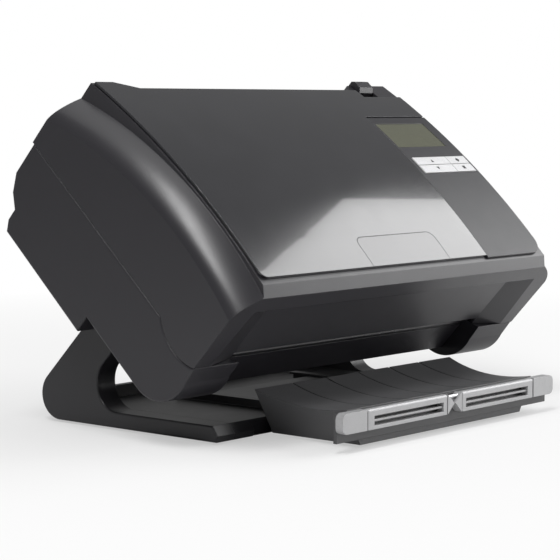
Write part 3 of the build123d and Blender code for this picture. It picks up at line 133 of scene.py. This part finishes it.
class ScannerStage(bpy.types.PropertyGroup):
    """Camera, lamps and floor."""

    lens: FloatProperty(name="Lens", description="Camera's focal length in millimetres", default=126.9)
    floor: colour_property("Floor", "Floor and backdrop", (0.78, 0.78, 0.78))
    key: FloatProperty(name="Key lamp", description="Power of the lamp at the right", default=21.0,
                       unit="POWER")
    side: FloatProperty(name="Side lamp", description="Power of the lamp high at the left", default=13.0,
                        unit="POWER")
    top: FloatProperty(name="Top lamp", description="Power of the lamp overhead", default=7.0,
                       unit="POWER")
    world: FloatProperty(name="World", description="Strength of the room's light", default=0.35, min=0.0)


class Wire:
    """A shader socket that Python arithmetic can be used on."""

    def __init__(self, painter, socket):
        self.painter = painter
        self.socket = socket

    def __add__(self, other):
        return self.painter.maths("ADD", self, other)

    def __radd__(self, other):
        return self.painter.maths("ADD", other, self)

    def __sub__(self, other):
        return self.painter.maths("SUBTRACT", self, other)

    def __rsub__(self, other):
        return self.painter.maths("SUBTRACT", other, self)

    def __mul__(self, other):
        return self.painter.maths("MULTIPLY", self, other)

    def __truediv__(self, other):
        return self.painter.maths("DIVIDE", self, other)


class Painter:
    """Builds the nodes of one material."""

    def __init__(self, name):
        self.material = bpy.data.materials.new(name)
        self.material.use_nodes = True
        self.tree = self.material.node_tree
        self.tree.nodes.clear()
        self.output = self.tree.nodes.new("ShaderNodeOutputMaterial")

    def node(self, kind, settings=None, inputs=None, output=0):
        """Add a node, set it up, feed its sockets and return one of its outputs."""
        made = self.tree.nodes.new(kind)
        for name, value in (settings or {}).items():
            if name == "stops":
                self.set_stops(made.color_ramp, value)
            else:
                setattr(made, name, value)
        for name, value in (inputs or {}).items():
            self.feed(made.inputs[name], value)
        return Wire(self, made.outputs[output])

    def feed(self, socket, value):
        """Link a wire to a socket, or set the socket's own value."""
        if isinstance(value, Wire):
            self.tree.links.new(value.socket, socket)
        elif socket.type == "RGBA" and len(value) == 3:
            socket.default_value = (*value, 1.0)
        else:
            socket.default_value = value

    def set_stops(self, ramp, stops):
        """Place a ramp's grey stops, given as (position, brightness)."""
        while len(ramp.elements) < len(stops):
            ramp.elements.new(1.0)
        for element, (position, grey) in zip(ramp.elements, stops):
            element.position = position
            element.color = (grey, grey, grey, 1.0)

    def maths(self, operation, first, second=0.0):
        """Add a Math node."""
        return self.node("ShaderNodeMath", {"operation": operation}, {0: first, 1: second})

    def clamp(self, value):
        """Keep a value from 0 to 1."""
        return self.node("ShaderNodeClamp", None, {"Value": value})

    def mix(self, factor, first, second):
        """Blend two colours."""
        return self.node("ShaderNodeMix", {"data_type": "RGBA"}, {0: factor, 6: first, 7: second}, 2)

    def place(self):
        """Give the point on the piece, in metres in its own frame."""
        return self.node("ShaderNodeTexCoord", output="Object")

    def split(self, vector):
        """Give a vector's three parts."""
        return [self.node("ShaderNodeSeparateXYZ", None, {0: vector}, axis) for axis in range(3)]

    def noise(self, size, detail=2.0, roughness=0.5):
        """Give a noise whose spots are about size metres wide."""
        return self.node("ShaderNodeTexNoise", None, {
            "Vector": self.place(), "Scale": 1.0 / size, "Detail": detail, "Roughness": roughness,
        }, "Fac")

    def ramp(self, value, stops):
        """Bend a value through grey stops."""
        return self.node("ShaderNodeValToRGB", {"stops": stops}, {"Fac": value})

    def round_normal(self, radius):
        """Give a normal that turns softly over sharp edges."""
        return self.node("ShaderNodeBevel", {"samples": 4}, {"Radius": radius})

    def edge_mask(self, normal, reach=0.12):
        """Give 1 at sharp edges and 0 on flat faces."""
        true = self.node("ShaderNodeNewGeometry", output="True Normal")
        same = self.node("ShaderNodeVectorMath", {"operation": "DOT_PRODUCT"},
                         {0: normal, 1: true}, "Value")
        return self.clamp((1.0 - same) / reach)

    def bump(self, height, distance, normal, strength=1.0):
        """Turn a height into a normal."""
        return self.node("ShaderNodeBump", None, {
            "Height": height, "Distance": distance, "Normal": normal, "Strength": strength,
        })

    def finish(self, **inputs):
        """End in a Principled shader with the given sockets and return the material."""
        named = {key.replace("_", " "): value for key, value in inputs.items()}
        shader = self.node("ShaderNodeBsdfPrincipled", None, named)
        self.tree.links.new(shader.socket, self.output.inputs["Surface"])
        return self.material


def colours():
    """Give the scene's colour settings."""
    return bpy.context.scene.scanner_colours


def finishes():
    """Give the scene's finish settings."""
    return bpy.context.scene.scanner_finish


def stage_settings():
    """Give the scene's stage settings."""
    return bpy.context.scene.scanner_stage


def lighter(colour, factor):
    """Scale a colour."""
    return tuple(min(1.0, part * factor) for part in colour)


def moulded(name, colour, roughness, grain=1.0, wear=1.0, specular=0.5):
    """Make a moulded plastic: fine grain, handling sheen, faint clouds and rubbed edges."""
    look = finishes()
    paint = Painter(name)
    normal = paint.round_normal(look.edge)
    edge = paint.edge_mask(normal)
    clouds = paint.noise(0.045, 3.0)
    specks = paint.ramp(paint.noise(0.0016, 2.0, 0.7), [(0.66, 0.0), (0.74, 1.0)])
    base = paint.mix(clouds, lighter(colour, 0.97), lighter(colour, 1.04))
    rubbed = edge * paint.noise(0.004, 4.0) * (look.wear * wear)
    base = paint.mix(rubbed, base, lighter(colour, 2.6))
    base = paint.mix(specks * 0.015, base, (0.35, 0.34, 0.33))
    handling = paint.ramp(paint.noise(0.02, 4.0, 0.6), [(0.35, 0.0), (0.7, 1.0)])
    rough = roughness + (handling - 0.5) * 0.03 - edge * 0.06
    grains = paint.node("ShaderNodeTexVoronoi", {"feature": "SMOOTH_F1"}, {
        "Vector": paint.place(), "Scale": 1.0 / look.grain, "Smoothness": 0.6,
    }, "Distance")
    surface = paint.bump(grains, look.grain_depth * grain, normal)
    return paint.finish(Base_Color=base, Roughness=rough, Normal=surface, Specular_IOR_Level=specular)


def glossy(name, colour, roughness):
    """Make polished plastic with faint moulding waves, haze, wipe marks and a painted highlight along
    its sharp edges.
    """
    look = finishes()
    paint = Painter(name)
    normal = paint.round_normal(look.edge)
    edge = paint.edge_mask(normal)
    haze = paint.ramp(paint.noise(0.03, 4.0, 0.6), [(0.4, 0.0), (0.75, 1.0)])
    wipes = paint.node("ShaderNodeTexWave", {"wave_type": "BANDS", "bands_direction": "DIAGONAL"}, {
        "Vector": paint.place(), "Scale": 60.0, "Distortion": 9.0, "Detail": 4.0, "Detail Scale": 2.0,
    }, "Fac")
    scratches = paint.ramp(paint.noise(0.0008, 5.0, 0.75), [(0.68, 0.0), (0.78, 1.0)])
    base = paint.mix(haze * 0.5, colour, lighter(colour, 1.35))
    # Painted highlight: every sharp edge is lightened evenly, as if it caught the light.
    base = paint.mix(edge * 0.5, base, lighter(colour, 3.0))
    rough = roughness + haze * 0.03 + wipes * 0.012 + scratches * 0.05
    waves = paint.noise(0.05, 1.0)
    surface = paint.bump(waves, 0.00006, normal)
    return paint.finish(Base_Color=base, Roughness=rough, Normal=surface, Coat_Weight=0.6,
                        Coat_Roughness=0.04)


def metal(name, colour, roughness, brush=(1.0, 30.0, 30.0)):
    """Make plain metal with fine lines along x and dull spots."""
    look = finishes()
    paint = Painter(name)
    normal = paint.round_normal(look.edge * 0.5)
    stretched = paint.node("ShaderNodeMapping", None, {"Vector": paint.place(), "Scale": brush})
    lines = paint.node("ShaderNodeTexNoise", None, {
        "Vector": stretched, "Scale": 220.0, "Detail": 4.0, "Roughness": 0.6,
    }, "Fac")
    spots = paint.noise(0.012, 4.0)
    base = paint.mix(spots, lighter(colour, 0.86), lighter(colour, 1.08))
    rough = roughness + (lines - 0.5) * 0.18 + (spots - 0.5) * 0.12
    surface = paint.bump(lines, 0.00002, normal)
    return paint.finish(Base_Color=base, Roughness=rough, Normal=surface, Metallic=1.0)


def painted_silver(name, colour):
    """Make silver paint with fine flakes and darker worn corners."""
    look = finishes()
    paint = Painter(name)
    normal = paint.round_normal(look.edge * 0.6)
    edge = paint.edge_mask(normal)
    flakes = paint.node("ShaderNodeTexVoronoi", {"feature": "F1"}, {
        "Vector": paint.place(), "Scale": 4200.0,
    }, "Color")
    grey = paint.node("ShaderNodeRGBToBW", None, {0: flakes})
    clouds = paint.noise(0.01, 3.0)
    base = paint.mix(clouds, lighter(colour, 0.92), lighter(colour, 1.05))
    base = paint.mix(edge * paint.noise(0.0015, 3.0) * 0.3, base, lighter(colour, 0.45))
    rough = 0.3 + (grey - 0.5) * 0.16 + clouds * 0.06
    surface = paint.bump(grey, 0.000008, normal)
    return paint.finish(Base_Color=base, Roughness=rough, Normal=surface, Metallic=0.15)


def rubber(name, colour):
    """Make dull rubber with a ground surface and paper dust."""
    paint = Painter(name)
    normal = paint.round_normal(finishes().edge * 0.8)
    turned = paint.node("ShaderNodeMapping", None, {"Vector": paint.place(), "Scale": (8.0, 1.0, 1.0)})
    ground = paint.node("ShaderNodeTexNoise", None, {
        "Vector": turned, "Scale": 500.0, "Detail": 3.0,
    }, "Fac")
    dust = paint.ramp(paint.noise(0.006, 5.0, 0.7), [(0.45, 0.0), (0.75, 1.0)])
    base = paint.mix(dust * 0.25, colour, (0.22, 0.21, 0.2))
    rough = 0.72 + (ground - 0.5) * 0.2
    surface = paint.bump(ground, 0.00005, normal)
    return paint.finish(Base_Color=base, Roughness=rough, Normal=surface, Specular_IOR_Level=0.3)


def dress(material, *names):
    """Give CAD nodes a finish through their material slots."""
    for name in names:
        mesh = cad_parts[name].data
        if not mesh.materials:
            mesh.materials.append(material)
        for index in range(len(mesh.materials)):
            mesh.materials[index] = material


def front_point(x, u, lift):
    """Give a point on the cover's front arc, lifted off it, in metres."""
    angle = math.asin((u - FRONT_APEX) / FRONT_RADIUS)
    radius = FRONT_RADIUS + lift
    along = FRONT_APEX + radius * math.sin(angle)
    out = FRONT_HEIGHT - FRONT_RADIUS + radius * math.cos(angle)
    return BODY_CORNER + Vector((x, 0, 0)) + BODY_UP * along + BODY_OUT * out


def front_mark(name, outlines, base_lift, thickness, material, body):
    """Make thin printed shapes that lie on the cover's front arc."""
    mesh = bpy.data.meshes.new(name)
    build = bmesh.new()
    for outline in outlines:
        low = [build.verts.new(front_point(x, u, base_lift)) for x, u in outline]
        high = [build.verts.new(front_point(x, u, base_lift + thickness)) for x, u in outline]
        build.faces.new(high)
        build.faces.new(list(reversed(low)))
        count = len(outline)
        for index in range(count):
            after = (index + 1) % count
            build.faces.new((low[index], low[after], high[after], high[index]))
    bmesh.ops.recalc_face_normals(build, faces=build.faces[:])
    build.to_mesh(mesh)
    build.free()
    piece = bpy.data.objects.new(name, mesh)
    bpy.context.scene.collection.objects.link(piece)
    mesh.materials.append(material)
    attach(piece, body)
    return piece


class SCANNER_OT_base(bpy.types.Operator):
    """Finish the base plate, its arms, feet and screws"""

    bl_idname = "scanner.base"
    bl_label = "Base"

    def execute(self, context):
        look = finishes()
        dress(moulded("base_plastic", colours().base, look.satin, 1.2, 0.7),
              "base_plate", "base_arm_left", "base_arm_right")
        dress(rubber("feet_rubber", colours().rubber), "rubber_feet")
        dress(metal("screw_steel", colours().steel, 0.3), "base_screws", "casing_screws")
        return {"FINISHED"}


class SCANNER_OT_casing(bpy.types.Operator):
    """Finish the rear casings, the rear cover and the power button"""

    bl_idname = "scanner.casing"
    bl_label = "Rear casing"

    def execute(self, context):
        look = finishes()
        dress(moulded("casing_plastic", colours().casing, look.satin),
              "casing_left", "casing_right", "rear_cover", "power_button")
        return {"FINISHED"}


class SCANNER_OT_cover(bpy.types.Operator):
    """Finish the cover's shell and the release lever"""

    bl_idname = "scanner.cover"
    bl_label = "Front cover"

    def execute(self, context):
        look = finishes()
        dress(moulded("cover_plastic", colours().cover, look.satin * 0.85, 0.8),
              "cover_shell", "cover_corners", "release_lever")
        return {"FINISHED"}


class SCANNER_OT_panel(bpy.types.Operator):
    """Finish the gloss front panel and its finger pad"""

    bl_idname = "scanner.panel"
    bl_label = "Front panel"

    def execute(self, context):
        look = finishes()
        dress(glossy("panel_gloss", colours().panel, look.gloss), "glossy_panel")
        dress(glossy("pad_gloss", lighter(colours().panel, 1.1), look.gloss * 1.2), "finger_pad")
        return {"FINISHED"}


class SCANNER_OT_controls(bpy.types.Operator):
    """Finish the control strip, the display and the buttons"""

    bl_idname = "scanner.controls"
    bl_label = "Controls"

    def execute(self, context):
        look = finishes()
        dress(moulded("strip_plastic", colours().strip, 0.42, 0.7, 0.8), "control_strip")
        dress(self.display_glass(), "display_window")
        silver = painted_silver("button_silver", colours().silver)
        dress(silver, "up_button", "down_button", "start_button", "stop_button")
        self.marks()
        return {"FINISHED"}

    def display_glass(self):
        """Make a blank display under clear glass, with its fine rows and columns."""
        paint = Painter("display_glass")
        x, y, z = paint.split(paint.place())
        along = y * BODY_UP.y + z * BODY_UP.z
        columns = paint.maths("PINGPONG", x, DISPLAY_DOT) / DISPLAY_DOT
        rows = paint.maths("PINGPONG", along, DISPLAY_DOT) / DISPLAY_DOT
        grid = paint.ramp(paint.maths("MINIMUM", columns, rows), [(0.05, 0.0), (0.3, 1.0)])
        clouds = paint.noise(0.02, 2.0)
        tint = colours().display
        base = paint.mix(clouds, lighter(tint, 0.92), lighter(tint, 1.08))
        base = paint.mix(grid, lighter(tint, 0.8), base)
        smears = paint.noise(0.012, 5.0, 0.65)
        rough = 0.12 + smears * 0.12
        normal = paint.round_normal(finishes().edge * 0.5)
        surface = paint.bump(smears, 0.00001, normal)
        return paint.finish(Base_Color=base, Roughness=rough, Normal=surface, Coat_Weight=0.4,
                            Coat_Roughness=0.08)

    def marks(self):
        """Print plain arrows, a start mark and a stop mark on the buttons."""
        ink = moulded("mark_ink", colours().marks, 0.5, 0.5, 0.2)
        low, high = LOW_MARK_U, HIGH_MARK_U
        left, right = LEFT_MARK_X, RIGHT_MARK_X
        size = MARK_SIZE
        up = [(left - size, high - size), (left + size, high - size), (left, high + size)]
        down = [(left - size, low + size), (left, low - size), (left + size, low + size)]
        start = [(right - size * 1.4, high), (right, high - size * 1.4), (right + size * 1.4, high),
                 (right, high + size * 1.4)]
        stop = [(right - size, low - size), (right + size, low - size), (right + size, low + size),
                (right - size, low + size)]
        for name, outline in (("up", up), ("down", down), ("start", start), ("stop", stop)):
            front_mark(f"{name}_mark", [outline], MARK_LIFT, MARK_THICKNESS, ink,
                       f"{name}_button")


class SCANNER_OT_output_tray(bpy.types.Operator):
    """Finish the output tray, its extension and the end stops"""

    bl_idname = "scanner.output_tray"
    bl_label = "Output tray"

    def execute(self, context):
        look = finishes()
        dress(moulded("tray_plastic", colours().tray, look.satin * 1.1, 1.0, 0.6), "output_tray")
        silver = painted_silver("stop_silver", lighter(colours().silver, 0.62))
        dress(silver, "end_stop_left", "end_stop_right", "stop_end_caps", "stop_centre_joint")
        dress(moulded("extension_plastic", lighter(colours().tray, 0.7), look.satin), "tray_extension")
        dress(metal("rod_steel", colours().steel, 0.25), "stop_hinge_rod")
        return {"FINISHED"}


class SCANNER_OT_input_tray(bpy.types.Operator):
    """Finish the input tray, its extension and the side guides"""

    bl_idname = "scanner.input_tray"
    bl_label = "Input tray"

    def execute(self, context):
        look = finishes()
        dress(moulded("input_plastic", colours().casing, look.satin * 1.05, 1.2),
              "input_tray", "input_extension", "side_guide_left", "side_guide_right", "guide_pinion")
        return {"FINISHED"}


class SCANNER_OT_paper_path(bpy.types.Operator):
    """Finish the guides, sensors, rollers and shafts of the paper path"""

    bl_idname = "scanner.paper_path"
    bl_label = "Paper path"

    def execute(self, context):
        dress(moulded("guide_plastic", colours().guide, 0.45, 1.0, 0.5),
              "lower_guide", "upper_guide", "shaft_bushes", "lower_sensor", "upper_sensor")
        dress(self.sensor_glass(), "lower_glass", "upper_glass")
        dress(rubber("roller_rubber", lighter(colours().rubber, 1.6)), "feed_rollers", "drive_rollers",
              "exit_rollers", "middle_idlers", "exit_idlers", "separation_roller", "drive_belt")
        dress(metal("shaft_steel", colours().steel, 0.22), "feed_shaft", "drive_shaft", "exit_shaft",
              "motor_pulley", "latch_bar", "cover_hinge_pins")
        return {"FINISHED"}

    def sensor_glass(self):
        """Make dark sensor glass with dust and faint smears."""
        paint = Painter("sensor_glass")
        dust = paint.ramp(paint.noise(0.0006, 3.0, 0.7), [(0.68, 0.0), (0.76, 1.0)])
        smears = paint.noise(0.015, 5.0, 0.6)
        base = paint.mix(dust * 0.3, (0.02, 0.024, 0.024), (0.4, 0.4, 0.4))
        surface = paint.bump(smears, 0.000005, paint.round_normal(finishes().edge * 0.5))
        return paint.finish(Base_Color=base, Roughness=0.04 + smears * 0.06, Normal=surface,
                            Coat_Weight=0.5, Coat_Roughness=0.03)


class SCANNER_OT_electrics(bpy.types.Operator):
    """Finish the chassis, motor, boards and sockets"""

    bl_idname = "scanner.electrics"
    bl_label = "Electrics"

    def execute(self, context):
        dress(metal("chassis_zinc", colours().zinc, 0.42, (12.0, 12.0, 1.0)),
              "chassis_plates", "motor")
        dress(self.lacquered_board(), "main_board", "io_board", "button_board")
        dress(moulded("socket_plastic", (0.012, 0.012, 0.013), 0.5, 0.6), "power_inlet", "usb_port")
        return {"FINISHED"}

    def lacquered_board(self):
        """Make circuit board with copper tracks under green lacquer."""
        paint = Painter("board_lacquer")
        tracks = paint.node("ShaderNodeTexBrick", {"offset": 0.5}, {
            "Vector": paint.place(), "Scale": 260.0, "Mortar Size": 0.03, "Mortar Smooth": 0.1,
        }, "Fac")
        tint = colours().board
        base = paint.mix(tracks, tint, lighter(tint, 1.7))
        surface = paint.bump(tracks, 0.00003, paint.round_normal(finishes().edge * 0.5))
        rough = 0.3 + paint.noise(0.01, 3.0) * 0.12
        return paint.finish(Base_Color=base, Roughness=rough, Normal=surface)


class SCANNER_OT_stage(bpy.types.Operator):
    """Set the floor, the lamps, the room and the camera"""

    bl_idname = "scanner.stage"
    bl_label = "Stage"

    def execute(self, context):
        settings = stage_settings()
        self.floor(settings)
        self.room(settings)
        self.lamp("key_lamp", *KEY_LAMP, settings.key)
        self.lamp("side_lamp", *SIDE_LAMP, settings.side)
        self.lamp("top_lamp", *TOP_LAMP, settings.top)
        self.camera(context, settings)
        return {"FINISHED"}

    def floor(self, settings):
        """Lay a pale floor that keeps the scanner's shadow and fades into the backdrop."""
        paint = Painter("stage_floor")
        camera_ray = paint.node("ShaderNodeLightPath", output="Is Camera Ray")
        reach = paint.node("ShaderNodeVectorMath", {"operation": "LENGTH"}, {0: paint.place()}, "Value")
        far = paint.clamp((reach - FADE_START) / FADE_LENGTH)
        share = camera_ray * (NEAR_WHITE + far * (1.0 - NEAR_WHITE))
        matte = paint.node("ShaderNodeBsdfDiffuse", None, {"Color": tuple(settings.floor)})
        white = paint.node("ShaderNodeEmission", None, {"Color": (1.0, 1.0, 1.0), "Strength": 1.0})
        surface = paint.node("ShaderNodeMixShader", None, {0: share, 1: matte, 2: white})
        paint.tree.links.new(surface.socket, paint.output.inputs["Surface"])
        mesh = bpy.data.meshes.new("floor")
        build = bmesh.new()
        bmesh.ops.create_grid(build, x_segments=2, y_segments=2, size=FLOOR_SIZE)
        build.to_mesh(mesh)
        build.free()
        mesh.materials.append(paint.material)
        floor = bpy.data.objects.new("floor", mesh)
        bpy.context.scene.collection.objects.link(floor)

    def room(self, settings):
        """Light the room evenly and show it as white."""
        world = bpy.data.worlds.new("room")
        world.use_nodes = True
        tree = world.node_tree
        tree.nodes.clear()
        output = tree.nodes.new("ShaderNodeOutputWorld")
        rays = tree.nodes.new("ShaderNodeLightPath")
        soft = tree.nodes.new("ShaderNodeBackground")
        soft.inputs["Strength"].default_value = settings.world
        white = tree.nodes.new("ShaderNodeBackground")
        white.inputs["Color"].default_value = (1.0, 1.0, 1.0, 1.0)
        white.inputs["Strength"].default_value = 1.0
        mixed = tree.nodes.new("ShaderNodeMixShader")
        tree.links.new(rays.outputs["Is Camera Ray"], mixed.inputs[0])
        tree.links.new(soft.outputs[0], mixed.inputs[1])
        tree.links.new(white.outputs[0], mixed.inputs[2])
        tree.links.new(mixed.outputs[0], output.inputs["Surface"])
        bpy.context.scene.world = world

    def lamp(self, name, place, aim, size, power):
        """Hang a soft rectangular lamp that points at aim."""
        data = bpy.data.lights.new(name, "AREA")
        data.shape = "RECTANGLE"
        data.size, data.size_y = size
        data.energy = power
        lamp = bpy.data.objects.new(name, data)
        lamp.location = place
        lamp.rotation_euler = (Vector(aim) - Vector(place)).to_track_quat("-Z", "Y").to_euler()
        bpy.context.scene.collection.objects.link(lamp)

    def camera(self, context, settings):
        """Stand the camera low at the scanner's left front."""
        level = math.cos(CAMERA_DIP)
        look = Vector((math.sin(CAMERA_TURN) * level, math.cos(CAMERA_TURN) * level,
                       -math.sin(CAMERA_DIP)))
        data = bpy.data.cameras.new("camera")
        data.sensor_width = SENSOR_WIDTH
        data.lens = settings.lens
        camera = bpy.data.objects.new("camera", data)
        camera.location = Vector((CAMERA_X, CAMERA_FROM_CORNER_Y + BODY_CORNER.y, CAMERA_Z))
        camera.rotation_euler = look.to_track_quat("-Z", "Y").to_euler()
        context.scene.collection.objects.link(camera)
        context.scene.camera = camera
        context.scene.view_settings.view_transform = "Standard"


class SCANNER_PT_panel(bpy.types.Panel):
    """Lists the scanner's pieces and settings"""

    bl_idname = "SCANNER_PT_panel"
    bl_label = "Document scanner"
    bl_space_type = "VIEW_3D"
    bl_region_type = "UI"
    bl_category = "Scanner"

    def draw(self, context):
        layout = self.layout
        for operator in PIECE_OPERATORS:
            layout.operator(operator.bl_idname)
        for group in (context.scene.scanner_colours, context.scene.scanner_finish,
                      context.scene.scanner_stage):
            column = layout.column()
            for name in group.bl_rna.properties.keys():
                if name not in ("rna_type", "name"):
                    column.prop(group, name)


PIECE_OPERATORS = (
    SCANNER_OT_base,
    SCANNER_OT_casing,
    SCANNER_OT_cover,
    SCANNER_OT_panel,
    SCANNER_OT_controls,
    SCANNER_OT_output_tray,
    SCANNER_OT_input_tray,
    SCANNER_OT_paper_path,
    SCANNER_OT_electrics,
    SCANNER_OT_stage,
)
CLASSES = (ScannerColours, ScannerFinish, ScannerStage, *PIECE_OPERATORS, SCANNER_PT_panel)


def register():
    """Register the classes and their settings."""
    for item in CLASSES:
        bpy.utils.register_class(item)
    bpy.types.Scene.scanner_colours = PointerProperty(type=ScannerColours)
    bpy.types.Scene.scanner_finish = PointerProperty(type=ScannerFinish)
    bpy.types.Scene.scanner_stage = PointerProperty(type=ScannerStage)


def unregister():
    """Remove the settings and the classes."""
    del bpy.types.Scene.scanner_stage
    del bpy.types.Scene.scanner_finish
    del bpy.types.Scene.scanner_colours
    for item in reversed(CLASSES):
        bpy.utils.unregister_class(item)


def main():
    """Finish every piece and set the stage."""
    register()
    bpy.ops.scanner.base()
    bpy.ops.scanner.casing()
    bpy.ops.scanner.cover()
    bpy.ops.scanner.panel()
    bpy.ops.scanner.controls()
    bpy.ops.scanner.output_tray()
    bpy.ops.scanner.input_tray()
    bpy.ops.scanner.paper_path()
    bpy.ops.scanner.electrics()
    bpy.ops.scanner.stage()


if __name__ == "__main__":
    main()
